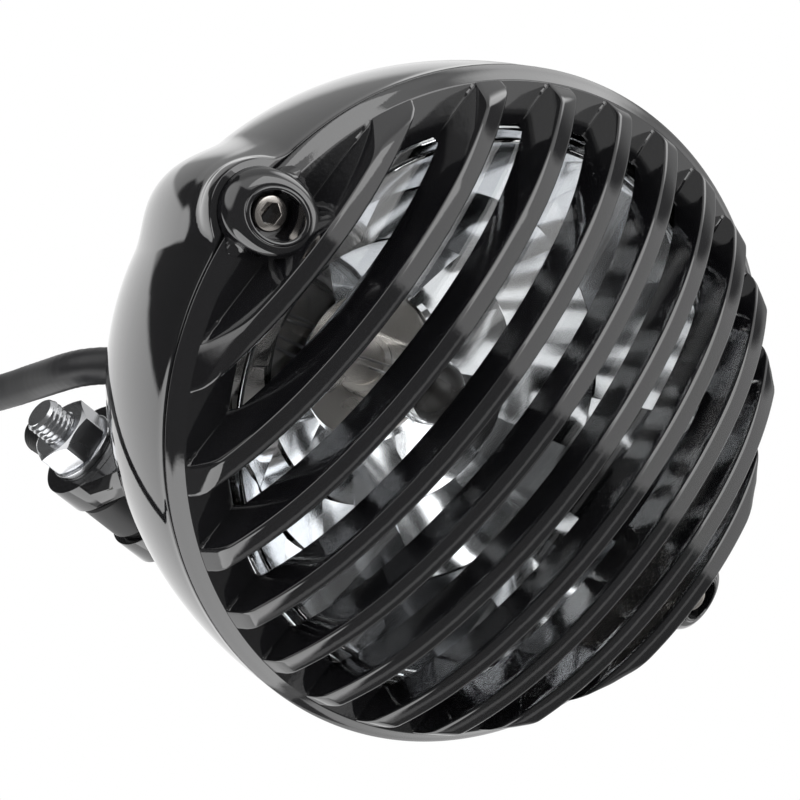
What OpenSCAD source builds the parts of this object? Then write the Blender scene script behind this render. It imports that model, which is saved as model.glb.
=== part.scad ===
// Round motorcycle headlight with a finned dome grille.
// Lamp front faces -Y, +Z is up, and the origin is on the mounting stud, at its shoulder.
// Profiles of revolution are drawn as radius against depth, with depth growing to the rear.

/* [Grille] */
// Radius of the dome where the fins leave the rim
dome_r = 76.2; // [72:0.2:80]
// Height of the dome in front of the fins' roots at the centre
dome_h = 29.7; // [24:0.1:34]
// Thickness of the dome that the fins are cut from
dome_wall = 8.5; // [5:0.5:11]
// Number of open slots between fins
slot_count = 9; // [5:2:11]
// Width of one slot
slot_w = 9.4; // [6:0.2:11]
// Thickness of one fin
fin_t = 5.8; // [3:0.2:8]
// Width of the rim around the opening that the lens shows through
rim_w = 8.4; // [6:0.2:12]
// How much wider the rim is at the seam than at the fins
rim_flare = 5; // [4:0.1:7]

/* [Shell] */
// Depth at which the shell's long side meets its round tail
side_len = 86; // [70:1:105]
// Radius of the bow in the shell's side
side_r = 140; // [120:1:200]
// Wall of the rear shell
shell_wall = 2; // [1.2:0.1:3]
// Radius of the screw bosses at the two sides
boss_r = 9.5; // [8.5:0.1:11]

/* [Optics] */
// How far the lens bulges forward
lens_bulge = 17; // [10:0.5:20]
// Depth of the reflector bowl
bowl_depth = 52; // [44:0.5:56]

/* [Bracket] */
// Angle below the lamp axis at which the bracket stands on the shell
aim = 37; // [25:0.5:50]
// Distance of the pivot axis from the shell's surface
standoff = 25.3; // [21:0.1:32]
// Radius of the rounded ends of the two cheeks
cheek_r = 14; // [12:0.5:17]
// Thickness of each cheek
cheek_t = 8.9; // [7:0.1:11]
// Width of the stud's eye
eye_w = 12.9; // [12.5:0.1:15]
// Radius of the pivot bolt
bolt_r = 5; // [4:0.5:6]
// Radius of the mounting stud
stud_r = 6; // [5:0.5:7]
// Length of the mounting stud behind its shoulder
stud_len = 46; // [30:1:60]

/* [Cable] */
// Outer diameter of the cable sleeve
cable_d = 10; // [8:0.5:11]

/* [Hidden] */
$fn = 96;
fit = 0.05;

// Dome: a flatter cap in the middle and a tighter shoulder outside it, tangent where they meet
dome_edge_d = -4.3;
front_d = dome_edge_d - dome_h;
cap_r = 1.1096 * (dome_r * dome_r + dome_h * dome_h) / (2 * dome_h);
cap_c = front_d + cap_r;
split_r = 0.6295 * dome_r;
split_a = asin(split_r / cap_r);
split_d = cap_c - cap_r * cos(split_a);
chord = [dome_r - split_r, dome_edge_d - split_d];
turn = atan2(chord[1], chord[0]) - split_a;
shoulder_r = norm(chord) / (2 * sin(turn));
shoulder_c = [split_r - shoulder_r * sin(split_a), split_d + shoulder_r * cos(split_a)];

// Rim: ledge under the slots, skirt to the seam and spigot into the shell
window_r = dome_r - rim_w;
ledge_r = dome_r + 1.8;
ledge_d = 1.2;
ledge_t = 2.2;
seam_d = 5.4;
seam_r = dome_r + rim_flare;
seal_t = 0.6;
mouth_d = seam_d + seal_t;
shell_r = seam_r - 0.5;
screw_x = ledge_r;
spigot_r = shell_r - shell_wall - 0.7;
spigot_t = 4;
spigot_d = 18;

// Slots
pitch = slot_w + fin_t;
fin_count = slot_count + 1;

// Shell outline: a long side arc and a round tail, tangent where they meet
side_d = 10;
tail_split = side_len;
side_a = asin((tail_split - side_d) / side_r);
tail_x = shell_r - side_r * (1 - cos(side_a));
tail_r = tail_x / cos(side_a);
tail_c = tail_split - tail_r * sin(side_a);

// Optics stack behind the ledge, inside the spigot
lens_r = spigot_r - spigot_t - 0.2;
gasket_t = 1.2;
gasket_d = ledge_d + ledge_t;
lens_d = gasket_d + gasket_t;
lens_flange_t = 3;
lens_t = 2.4;
bowl_d = lens_d + lens_flange_t;
bowl_flange_t = 1.6;
bowl_t = 0.6;
bowl_r = window_r - 1.8;
clip_d = bowl_d + bowl_flange_t;
bulb_hole_r = 19;
neck_r = bulb_hole_r + 2.6;
bowl_end = bowl_d + bowl_depth;
base_r = 13;
base_end = bowl_end + 15;
plug_len = 11.4;

// Side screws
screw_r = 2.5;
screw_head_r = 4.25;
screw_head_t = 4;
screw_seat_d = 2.6;
boss_face_d = -5.2;
boss_lip_r = (screw_head_r + 1.1) / cos(30) + 0.7;
screw_len = 25;
nut_af = 8;
side_nut_d = 20;
side_nut_t = 4;

// Pivot
pivot_washer_t = 1.6;
spacer_t = 1.6;
cheek_in = eye_w / 2 + fit + spacer_t;
cheek_out = cheek_in + cheek_t;
reach = tail_r + standoff;
pivot_drop = reach * sin(aim);
pivot_depth = tail_c + reach * cos(aim);
eye_r = cheek_r - 1;
eye_gap = 2.3;
base_t = standoff - eye_r - eye_gap;
bracket_screw_x = 11;
plate_w = 32;
shoulder_y = 17;
bolt_head_t = 6.4;
hex_af = 17;
nut_t = 8;
bolt_end = 34;

// Cable exit, on the tail of the shell
exit_x = -24;
exit_z = -30;
exit_n = [exit_x, sqrt(tail_r * tail_r - exit_x * exit_x - exit_z * exit_z), exit_z] / tail_r;
exit_az = atan2(exit_n[1], exit_n[0]);
exit_tilt = acos(exit_n[2]);
exit_r = cable_d / 2 + 1.2;
grommet_out = 12;

// Sleeve route in the lamp's own axes: out of the grommet, back, then hanging
route = [[-22.3, 102.2, -27.9], [-24, 106.4, -30], [-26.1, 111.4, -32.6], [-28.1, 116.4, -35.2],
         [-29.8, 121.4, -37.8], [-30.6, 127, -40.4], [-30.4, 133, -42.8], [-29.4, 140, -45.2],
         [-28, 148, -47.7], [-26.6, 156, -50.2], [-25.2, 164, -52.8], [-24.3, 172, -55.8],
         [-24, 180, -59.6], [-24, 188, -64.8], [-24, 195, -71.4], [-24, 201, -79.2],
         [-24, 205.6, -88], [-24, 209, -97.6], [-24, 211.3, -108], [-24, 212.6, -119],
         [-24, 213, -131], [-24, 213, -145], [-24, 213, -160], [-24, 213, -175],
         [-24, 213, -190], [-24, 213, -205], [-24, 213, -220]];

// Route of the lead inside the shell, from the bulb's plug to the grommet
inner_route = [[0, 86, 0], [0, 89, 0], [-1.4, 91.6, -2], [-4.6, 93.4, -6], [-9, 94.4, -11],
               [-13.6, 95.4, -16], [-17.4, 96.8, -21], [-20.2, 98.6, -24.8], [-21.8, 101, -27.2]];

function unit(v) = v / norm(v);
function along(p, i) =
    unit(p[min(i + 1, len(p) - 1)] - p[max(i - 1, 0)]);
function side_of(t) = unit(cross(t, [1, 0.2, 0]));

module at_mount() {
    translate([0, -(pivot_depth + shoulder_y), pivot_drop]) children();
}

// Turns a radius and depth outline about the lamp axis
module turned() {
    rotate([-90, 0, 0]) rotate_extrude($fn = 180) children();
}

// A rod along the lamp axis, from depth a to depth b
module rod(r, a, b, x = 0, z = 0) {
    translate([x, a, z]) rotate([-90, 0, 0]) cylinder(r = r, h = b - a);
}

module hex_rod(af, a, b, x = 0, z = 0) {
    translate([x, a, z]) rotate([-90, 0, 0]) rotate(30) cylinder(d = af / cos(30), h = b - a, $fn = 6);
}

module both_sides() {
    children();
    mirror([1, 0, 0]) children();
}

// Places children with their Z axis on the pivot's outward X axis at x
module on_pivot(x) {
    translate([x, pivot_depth, -pivot_drop]) rotate([0, 90, 0]) children();
}

// Swept tube of diameter d along points p
module tube(p, d, sides) {
    rings = [for (i = [0 : len(p) - 1])
        let (t = along(p, i), u = side_of(t), w = cross(t, u))
        for (k = [0 : sides - 1])
            p[i] + d / 2 * (cos(360 * k / sides) * u + sin(360 * k / sides) * w)];
    last = (len(p) - 1) * sides;
    walls = [for (i = [0 : len(p) - 2], k = [0 : sides - 1])
        [i * sides + k, i * sides + (k + 1) % sides,
         (i + 1) * sides + (k + 1) % sides, (i + 1) * sides + k]];
    caps = [[for (k = [0 : sides - 1]) sides - 1 - k], [for (k = [0 : sides - 1]) last + k]];
    polyhedron(rings, concat(walls, caps), convexity = 8);
}

module dome_outline(inset) {
    cut = split_r - inset * sin(split_a);
    depth = ledge_d + 0.6 - front_d + 1;
    intersection() {
        translate([0, cap_c]) circle(r = cap_r - inset, $fn = 360);
        translate([0, front_d - 1]) square([cut, depth]);
    }
    intersection() {
        translate(shoulder_c) circle(r = shoulder_r - inset, $fn = 360);
        translate([cut, front_d - 1]) square([60, depth]);
    }
}

module shell_outline(inset) {
    cut = tail_split - inset * sin(side_a);
    intersection() {
        translate([shell_r - side_r, side_d]) circle(r = side_r - inset, $fn = 360);
        translate([0, mouth_d]) square([shell_r + 2, cut - mouth_d]);
    }
    intersection() {
        translate([0, tail_c]) circle(r = tail_r - inset, $fn = 360);
        translate([0, cut]) square([shell_r, 60]);
    }
}

module shell() {
    color("#101114") at_mount() difference() {
        union() {
            turned() shell_outline(0);
            both_sides() shell_ear();
        }
        difference() {
            union() {
                turned() shell_outline(shell_wall);
                rod(shell_r - shell_wall, mouth_d - 1, mouth_d + 6);
            }
            both_sides() difference() {
                rod(boss_r, mouth_d - 2, side_nut_d + side_nut_t, screw_x);
                rod(lens_r + 0.7, mouth_d - 3, clip_d + 2);
            }
        }
        rod(200, mouth_d - 60, mouth_d);
        both_sides() rod(screw_r + 0.25, mouth_d - 1, side_nut_d + 1, screw_x);
        both_sides() hex_rod(nut_af, side_nut_d, side_nut_d + 8, screw_x);
        on_exit() cylinder(r = exit_r, h = 20, center = true);
        bracket_bolts() cylinder(r = 2.7, h = 30, center = true);
    }
}

// Teardrop that fairs each screw boss into the side of the shell
module shell_ear() {
    translate([screw_x, mouth_d - 1, 0]) rotate([-90, 0, 12]) rotate_extrude()
        polygon([[0, 0], [boss_r + 1.6, 0], [7.6, 64], [6.2, 68], [3, 71], [0, 72]]);
}

// Frame on the cable exit, Z pointing out of the shell
module on_exit() {
    translate([exit_x, tail_c + tail_r * exit_n[1], exit_z])
        rotate([0, exit_tilt, exit_az]) children();
}

// Frames of the two screws that hold the bracket, Z pointing out of the shell
module bracket_bolts() {
    for (side = [-1, 1])
        translate([side * bracket_screw_x, tail_c, 0])
            rotate([-90 - aim, 0, 0]) translate([0, 0, tail_r]) children();
}

module rim_seal() {
    color("#1b1b1b") at_mount() difference() {
        rod(shell_r - 0.3, seam_d, mouth_d);
        rod(spigot_r + 0.1, seam_d - 1, mouth_d + 1);
        both_sides() rod(boss_r + 0.2, seam_d - 1, mouth_d + 1, screw_x);
    }
}

// Rim section: ledge, skirt and spigot
module rim_outline() {
    polygon([[window_r, ledge_d - 0.6], [ledge_r, ledge_d], [seam_r, seam_d],
             [spigot_r, seam_d], [spigot_r, spigot_d], [spigot_r - spigot_t, spigot_d],
             [spigot_r - spigot_t, gasket_d], [window_r, gasket_d]]);
}

// Turns the fin tips down onto the outer edge of the ledge
module fin_limit() {
    polygon([[0, front_d - 1], [dome_r, front_d - 1], [dome_r, dome_edge_d],
             [ledge_r - 0.25, ledge_d + 0.3], [ledge_r - 0.25, ledge_d + 1], [0, ledge_d + 1]]);
}

module fins() {
    for (i = [0 : fin_count - 1])
        translate([(i - slot_count / 2) * pitch - fin_t / 2, -60, -100]) cube([fin_t, 70, 200]);
}

module grille_bezel() {
    color("#0c0d10") at_mount() difference() {
        union() {
            difference() {
                turned() rim_outline();
                both_sides() rod(boss_r + 0.8, seam_d, spigot_d + 1, screw_x);
            }
            intersection() {
                turned() intersection() {
                    difference() {
                        dome_outline(0);
                        dome_outline(dome_wall);
                    }
                    fin_limit();
                }
                fins();
            }
            both_sides() boss();
        }
        both_sides() rod(screw_r + 0.25, -30, seam_d + 1, screw_x);
        both_sides() rod(screw_head_r + 1.1, -30, screw_seat_d, screw_x);
        clip_places() rod(1.25, spigot_d - 8, spigot_d + 1, spigot_r - spigot_t / 2);
    }
}

// Screw boss, its face sloping with the dome
module boss() {
    difference() {
        intersection() {
            rod(boss_r, -14, seam_d, screw_x);
            translate([screw_x, boss_face_d, 0]) rotate([-90, 0, 30])
                cylinder(r1 = boss_lip_r, r2 = boss_lip_r + 30, h = 30);
        }
        rod(window_r + 0.2, -40, 40);
        rod(lens_r + 0.4, gasket_d, 40);
    }
}

module clip_places() {
    for (a = [45, 135, 225, 315]) rotate([0, a, 0]) children();
}

module lens() {
    sag_r = (window_r * window_r + lens_bulge * lens_bulge) / (2 * lens_bulge);
    face_d = lens_d - lens_bulge;
    color("#dfe6ea", 0.35) at_mount() turned() {
        difference() {
            intersection() {
                translate([0, face_d + sag_r]) circle(r = sag_r, $fn = 360);
                translate([0, face_d - 1]) square([window_r - 0.8, lens_bulge + lens_flange_t]);
            }
            translate([0, face_d + sag_r]) circle(r = sag_r - lens_t, $fn = 360);
            translate([-1, lens_d + lens_flange_t]) square([100, 100]);
        }
        translate([window_r - 4, lens_d]) square([lens_r - window_r + 4, lens_flange_t]);
    }
}

module lens_gasket() {
    color("#202020") at_mount() difference() {
        rod(lens_r, gasket_d, lens_d);
        rod(window_r + 0.6, gasket_d - 1, lens_d + 1);
    }
}

// Parabola of the bowl: radius at depth t behind the flange
function bowl_at(t, inset) =
    let (k = (bowl_depth - t) / bowl_depth)
    sqrt(bulb_hole_r * bulb_hole_r + (bowl_r * bowl_r - bulb_hole_r * bulb_hole_r) * k) + inset;

module reflector() {
    steps = 24;
    inner = [for (i = [0 : steps]) [bowl_at(bowl_depth * i / steps, 0), bowl_d + bowl_depth * i / steps]];
    neck = [[bulb_hole_r, bowl_end + 5], [neck_r, bowl_end + 5], [neck_r, bowl_end]];
    outer = [for (i = [1 : steps]) [bowl_at(bowl_depth * (steps - i) / steps, bowl_t),
                                    bowl_d + bowl_depth * (steps - i) / steps + bowl_flange_t]];
    flange = [[lens_r, bowl_d + bowl_flange_t], [lens_r, bowl_d]];
    color("#d8dadd") at_mount() turned() polygon(concat(inner, neck, outer, flange));
}

module clip() {
    r_in = lens_r - 5;
    translate([r_in, clip_d, -5]) cube([spigot_r - spigot_t - r_in - 0.6, 1, 10]);
    translate([spigot_r - spigot_t - 1.6, clip_d, -5]) cube([1, spigot_d - clip_d + 0.5, 10]);
    difference() {
        translate([spigot_r - spigot_t - 1.6, spigot_d, -5]) cube([spigot_t + 1.4, 1, 10]);
        rod(1.7, spigot_d - 1, spigot_d + 2, spigot_r - spigot_t / 2);
    }
}

module retaining_clips() {
    color("#a9adb3") at_mount() clip_places() clip();
}

module clip_screws() {
    color("#8f9296") at_mount() clip_places() {
        rod(1.2, spigot_d - 7, spigot_d + 1.5, spigot_r - spigot_t / 2);
        rod(2, spigot_d + 1, spigot_d + 2.6, spigot_r - spigot_t / 2);
    }
}

// Bulb: glass finger in front, base and three blades behind
module bulb_glass() {
    color("#e8edf0", 0.4) at_mount() {
        rod(8.5, bowl_end - 30, bowl_end + 2);
        translate([0, bowl_end - 30, 0]) sphere(r = 8.5);
    }
}

module bulb_base() {
    color("#b9bcc0") at_mount() {
        difference() {
            union() {
                rod(bulb_hole_r - 0.4, bowl_end + 2, bowl_end + 6.2);
                rod(neck_r - 0.4, bowl_end + 5, bowl_end + 6.2);
                rod(base_r, bowl_end + 6, base_end);
            }
            rod(6, bowl_end + 1, bowl_end + 3);
        }
        translate([-4, base_end - 1, 6]) cube([8, 9, 0.8]);
        for (s = [-1, 1]) translate([s * 8 - 0.4, base_end - 1, -6]) cube([0.8, 9, 8]);
    }
}

module bulb_clip() {
    color("#c7c9cc") at_mount() difference() {
        rod(neck_r - 0.4, bowl_end + 6.2, bowl_end + 7.4);
        rod(base_r + 0.4, bowl_end + 6, bowl_end + 8);
        translate([-2, bowl_end + 6, -30]) cube([4, 2, 30]);
    }
}

module bulb_boot() {
    color("#1d1d1d") at_mount() difference() {
        union() {
            rod(25, bowl_end + 1, bowl_end + 8.6);
            translate([0, bowl_end + 8.6, 0]) rotate([-90, 0, 0]) cylinder(r1 = 25, r2 = 16, h = 4);
        }
        rod(neck_r, bowl_end, bowl_end + 7.4);
        rod(base_r, bowl_end, bowl_end + 14);
    }
}

module bulb_plug() {
    depth = base_end;
    color("#26221f") at_mount() difference() {
        translate([-12, depth, -10]) cube([24, plug_len, 20]);
        translate([-4.6, depth - 1, 5.6]) cube([9.2, 10, 1.6]);
        for (s = [-1, 1]) translate([s * 8 - 0.8, depth - 1, -6.4]) cube([1.6, 10, 9.2]);
    }
}

module side_screws() {
    color("#c9c8c2") at_mount() both_sides() difference() {
        union() {
            rod(screw_r, screw_seat_d, screw_len, screw_x);
            rod(screw_head_r, screw_seat_d - screw_head_t, screw_seat_d, screw_x);
        }
        hex_rod(4, screw_seat_d - screw_head_t - 1, screw_seat_d - 1.9, screw_x);
    }
}

module side_nuts() {
    color("#a9a9a4") at_mount() both_sides() difference() {
        hex_rod(nut_af - 0.1, side_nut_d, side_nut_d + side_nut_t, screw_x);
        rod(screw_r, side_nut_d - 1, side_nut_d + 6, screw_x);
    }
}

// Bracket: two cheeks on a base that seats on the tail of the shell
module bracket() {
    color("#101114") at_mount() difference() {
        union() {
            on_pivot(-cheek_out) cylinder(r = cheek_r, h = 2 * cheek_out);
            translate([0, pivot_depth, -pivot_drop]) rotate([-aim, 0, 0])
                translate([-cheek_out + 0.2, -reach + 40, -cheek_r + 0.3])
                    cube([2 * cheek_out - 0.4, reach - 40, 2 * cheek_r - 0.6]);
        }
        translate([0, pivot_depth, -pivot_drop]) rotate([-aim, 0, 0])
            translate([-cheek_in, -(reach - tail_r - base_t), -30]) cube([2 * cheek_in, 80, 60]);
        on_pivot(-30) cylinder(r = bolt_r + 0.1, h = 60);
        turned() shell_outline(0);
        bracket_bolts() translate([0, 0, -3]) cylinder(r = 2.45, h = 15);
    }
}

module backing_plate() {
    color("#77797c") at_mount() difference() {
        translate([0, tail_c, 0]) rotate([-aim, 0, 0])
            translate([-plate_w / 2, tail_r - shell_wall - 6, -11]) cube([plate_w, 9, 22]);
        difference() {
            translate([0, tail_c, 0]) sphere(r = tail_r + 20, $fn = 180);
            translate([0, tail_c, 0]) sphere(r = tail_r - shell_wall, $fn = 180);
        }
        bracket_bolts() cylinder(r = 2.7, h = 40, center = true);
    }
}

module bracket_screws() {
    color("#8b8d90") at_mount() bracket_bolts() difference() {
        union() {
            translate([0, 0, -shell_wall - 6]) cylinder(r = 2.4, h = shell_wall + 16);
            translate([0, 0, -shell_wall - 10]) cylinder(r = 4.5, h = 4);
        }
        translate([0, 0, -shell_wall - 11]) cylinder(d = 5, h = 3, $fn = 6);
    }
}

module pivot_spacers() {
    color("#2a2a2a") at_mount() both_sides() difference() {
        on_pivot(cheek_in - spacer_t) cylinder(r = cheek_r - 2.5, h = spacer_t);
        on_pivot(0) cylinder(r = bolt_r + 0.1, h = 30);
    }
}

module pivot_washers() {
    color("#b5b7b9") at_mount() both_sides() difference() {
        on_pivot(cheek_out) cylinder(r = 10, h = pivot_washer_t);
        on_pivot(0) cylinder(r = bolt_r + 0.1, h = 50);
    }
}

module pivot_bolt() {
    color("#b5b7b9") at_mount() {
        on_pivot(-bolt_end) cylinder(r = bolt_r, h = bolt_end + cheek_out + pivot_washer_t + 1);
        on_pivot(cheek_out + pivot_washer_t) cylinder(d = hex_af / cos(30), h = bolt_head_t, $fn = 6);
    }
}

module pivot_nut() {
    color("#c3c5c7") at_mount() difference() {
        intersection() {
            on_pivot(-cheek_out - pivot_washer_t - nut_t) cylinder(d = hex_af / cos(30), h = nut_t, $fn = 6);
            on_pivot(-cheek_out - pivot_washer_t - nut_t)
                cylinder(r1 = hex_af / 2 - 0.2, r2 = hex_af / 2 + nut_t * 1.7, h = nut_t);
        }
        on_pivot(-60) cylinder(r = bolt_r, h = 60);
    }
}

module eye_stud() {
    color("#141416") at_mount() difference() {
        union() {
            on_pivot(-eye_w / 2) cylinder(r = eye_r, h = eye_w);
            rod(eye_w / 2, pivot_depth + 8, pivot_depth + shoulder_y - 1, 0, -pivot_drop);
            rod(stud_r + 1.6, pivot_depth + cheek_r - 1.8, pivot_depth + shoulder_y, 0, -pivot_drop);
            rod(stud_r, pivot_depth + 10, pivot_depth + shoulder_y + stud_len - 1.5, 0, -pivot_drop);
            translate([0, pivot_depth + shoulder_y + stud_len - 1.5, -pivot_drop]) rotate([-90, 0, 0])
                cylinder(r1 = stud_r, r2 = stud_r - 1.5, h = 1.5);
        }
        on_pivot(-30) cylinder(r = bolt_r + fit, h = 60);
    }
}

module cable_grommet() {
    color("#18181a") at_mount() on_exit() difference() {
        union() {
            difference() {
                translate([0, 0, -shell_wall - 1.8]) cylinder(r = exit_r + 1, h = shell_wall + 3.4);
                translate([0, 0, -tail_r]) difference() {
                    sphere(r = tail_r, $fn = 180);
                    sphere(r = tail_r - shell_wall, $fn = 180);
                }
            }
            translate([0, 0, -shell_wall - 1]) cylinder(r = exit_r, h = shell_wall + 2);
            translate([0, 0, 1.6]) cylinder(r1 = exit_r + 1, r2 = cable_d / 2 + 1, h = grommet_out - 1.6);
        }
        translate([0, 0, -20]) cylinder(r = cable_d / 2 + 0.2, h = 60);
    }
}

module inner_lead() {
    color("#161616") at_mount() tube(inner_route, 6, 8);
}

module cable_sleeve() {
    color("#1a1a1c") at_mount() tube(route, cable_d, 12);
}

module cable_plug() {
    p = route[len(route) - 1];
    color("#e4e2da") at_mount() translate(p) {
        translate([0, 0, -8]) cylinder(r = cable_d / 2 - 0.5, h = 8);
        difference() {
            translate([-9, -6, -30]) cube([18, 12, 23]);
            for (x = [-5.5, 0, 5.5]) translate([x - 2, -4, -31]) cube([4, 8, 14]);
        }
    }
}

module plug_terminals() {
    p = route[len(route) - 1];
    color("#c9b26a") at_mount() translate(p)
        for (x = [-5.5, 0, 5.5]) translate([x - 1.6, -3, -29]) cube([3.2, 0.9, 12]);
}

shell();
rim_seal();
grille_bezel();
lens();
lens_gasket();
reflector();
retaining_clips();
clip_screws();
bulb_glass();
bulb_base();
bulb_clip();
bulb_boot();
bulb_plug();
side_screws();
side_nuts();
bracket();
backing_plate();
bracket_screws();
pivot_spacers();
pivot_washers();
pivot_bolt();
pivot_nut();
eye_stud();
cable_grommet();
inner_lead();
cable_sleeve();
cable_plug();
plug_terminals();
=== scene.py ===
import bmesh
import bpy
import numpy as np
from bpy.props import FloatProperty, FloatVectorProperty, IntProperty, PointerProperty
from bpy.types import Operator, Panel, PropertyGroup
from mathutils import Matrix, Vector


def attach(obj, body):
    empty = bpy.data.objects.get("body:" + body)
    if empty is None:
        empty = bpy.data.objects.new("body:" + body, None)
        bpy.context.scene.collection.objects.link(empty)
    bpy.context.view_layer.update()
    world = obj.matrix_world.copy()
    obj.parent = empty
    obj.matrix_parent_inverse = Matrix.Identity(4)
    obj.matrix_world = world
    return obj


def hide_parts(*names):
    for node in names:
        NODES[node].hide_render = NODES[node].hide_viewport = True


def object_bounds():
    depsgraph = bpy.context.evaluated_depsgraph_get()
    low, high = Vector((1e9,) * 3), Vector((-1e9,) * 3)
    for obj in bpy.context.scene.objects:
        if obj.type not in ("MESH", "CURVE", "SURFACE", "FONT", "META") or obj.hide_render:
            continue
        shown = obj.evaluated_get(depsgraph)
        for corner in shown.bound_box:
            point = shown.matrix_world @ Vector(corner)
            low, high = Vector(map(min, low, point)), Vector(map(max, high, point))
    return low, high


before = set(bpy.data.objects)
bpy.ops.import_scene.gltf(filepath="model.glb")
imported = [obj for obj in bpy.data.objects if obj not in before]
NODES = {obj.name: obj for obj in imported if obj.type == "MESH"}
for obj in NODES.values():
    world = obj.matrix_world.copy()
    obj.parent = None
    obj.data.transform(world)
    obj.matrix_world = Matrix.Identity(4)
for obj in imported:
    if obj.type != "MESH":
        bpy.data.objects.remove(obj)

bl_info = {
    "name": "Grille Headlight",
    "version": (1, 0, 0),
    "blender": (4, 5, 0),
    "location": "View3D > Sidebar > Headlight",
    "description": "Builds the finishes and detailed pieces of a round motorcycle headlight",
    "category": "Object",
}

CAD_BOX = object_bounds()

# The shapes below are worked out in the lamp's own axes, in millimetres: the lamp axis is Y,
# depth grows to the rear, and zero depth is near the fins' roots. This is where that origin
# lies in the frame, in metres.
LAMP_ORIGIN = np.array([0.0, -0.140954, 0.056986])
PIVOT = np.array([0.0, 123.954, -56.986])

# Sizes that several pieces share, in millimetres
SCREW_X = 78.0        # distance of the side screws from the lamp axis
SCREW_SEAT = 2.6      # depth at which their heads sit in the counterbores
LEDGE = 1.2           # depth of the ledge that the fins stand on
WINDOW_R = 67.8       # radius of the window in the rim
FLANGE_R = 73.8       # radius of the lens's and the reflector's flanges
ROOT = -4.3           # depth at which the dome meets the fins' steep ends
FIN_END_SLOPE = 3.55  # depth gained per millimetre of radius on those ends
SIDE_ARC_R = 140.0    # radius of the shell's long side arc
SIDE_ARC_D = 10.0     # depth at which that arc is widest
SIDE_END_D = 86.0     # depth at which the shell's tail begins
BOWL_R, NECK_R = 66.0, 19.0       # the reflector's bowl, at its front and at its neck
BOWL_FRONT_D, BOWL_DEEP = 7.6, 52.0
BULB_R, BULB_TIP_D, BULB_BASE_D = 8.5, 21.1, 61.6
BOLT_R, STUD_R = 5.0, 6.0
EYE_CHEEK = 18.65     # from the middle of the pivot to the outside of its washers
HEX = 17.0            # across the flats of the pivot's nut and head

# The camera: focal length and picture width in pixels, right and up directions, and its
# place from the lamp's origin in metres
FOCAL, PICTURE = 2629.9, 800
CAMERA_RIGHT = np.array([0.642476, -0.489305, 0.58975])
CAMERA_UP = np.array([-0.568482, 0.211736, 0.794982])
CAMERA_PLACE = np.array([-0.32975, -0.505474, -0.096574])

# The sleeve's route from inside its grommet to the plug, and the bulb lead's, both as in the CAD
SLEEVE_ROUTE = [
    (-22.3, 102.2, -27.9), (-24, 106.4, -30), (-26.1, 111.4, -32.6), (-28.1, 116.4, -35.2),
    (-29.8, 121.4, -37.8), (-30.6, 127, -40.4), (-30.4, 133, -42.8), (-29.4, 140, -45.2),
    (-28, 148, -47.7), (-26.6, 156, -50.2), (-25.2, 164, -52.8), (-24.3, 172, -55.8),
    (-24, 180, -59.6), (-24, 188, -64.8), (-24, 195, -71.4), (-24, 201, -79.2),
    (-24, 205.6, -88), (-24, 209, -97.6), (-24, 211.3, -108), (-24, 212.6, -119),
    (-24, 213, -131), (-24, 213, -145), (-24, 213, -160), (-24, 213, -175),
    (-24, 213, -190), (-24, 213, -205), (-24, 213, -220),
]
LEAD_ROUTE = [
    (0, 86, 0), (0, 89, 0), (-1.4, 91.6, -2), (-4.6, 93.4, -6), (-9, 94.4, -11),
    (-13.6, 95.4, -16), (-17.4, 96.8, -21), (-20.2, 98.6, -24.8), (-21.8, 101, -27.2),
]


# Sizes and colours that a user may change


class GrilleSizes(PropertyGroup):
    dome_radius: FloatProperty(name="Dome radius", default=0.0762, unit="LENGTH",
                               description="Radius at which the fins turn down onto the rim")
    dome_height: FloatProperty(name="Dome height", default=0.0297, unit="LENGTH",
                               description="Height of the dome in front of the fins' roots")
    dome_wall: FloatProperty(name="Dome wall", default=0.0085, unit="LENGTH",
                             description="Depth of a fin from its face to its back")
    fin_count: IntProperty(name="Fins", default=10, description="Number of fins across the dome")
    fin_thickness: FloatProperty(name="Fin thickness", default=0.005, unit="LENGTH",
                                 description="Thickness of one fin")
    pitch: FloatProperty(name="Pitch", default=0.0152, unit="LENGTH",
                         description="Distance from one fin to the next")
    edge: FloatProperty(name="Edge", default=0.0008, unit="LENGTH",
                        description="Rounding of the fins' cast edges")
    fillet: FloatProperty(name="Fillet", default=0.0009, unit="LENGTH",
                          description="Rounding where a fin stands on the rim")


class ShellSizes(PropertyGroup):
    mouth_radius: FloatProperty(name="Mouth radius", default=0.0807, unit="LENGTH",
                                description="Outer radius of the shell at its mouth")
    wall: FloatProperty(name="Wall", default=0.002, unit="LENGTH",
                        description="Wall of the shell")
    hood_blend: FloatProperty(name="Hood blend", default=0.003, unit="LENGTH",
                              description="Softness of the joint between each screw hood and the shell")


class OpticSizes(PropertyGroup):
    rings: IntProperty(name="Facet rings", default=3, description="Rings of facets in the reflector")
    sectors: IntProperty(name="Facet sectors", default=11,
                         description="Facets in one ring of the reflector")
    pillow: FloatProperty(name="Facet crown", default=0.0004, unit="LENGTH",
                          description="How far each facet is crowned")


class FastenerSizes(PropertyGroup):
    bolt_pitch: FloatProperty(name="Bolt thread pitch", default=0.0015, unit="LENGTH",
                              description="Thread pitch of the pivot bolt")
    stud_pitch: FloatProperty(name="Stud thread pitch", default=0.00175, unit="LENGTH",
                              description="Thread pitch of the mounting stud")
    nut_turn: FloatProperty(name="Nut turn", default=0.35, subtype="ANGLE",
                            description="Angle of the pivot nut about its bolt")


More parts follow.
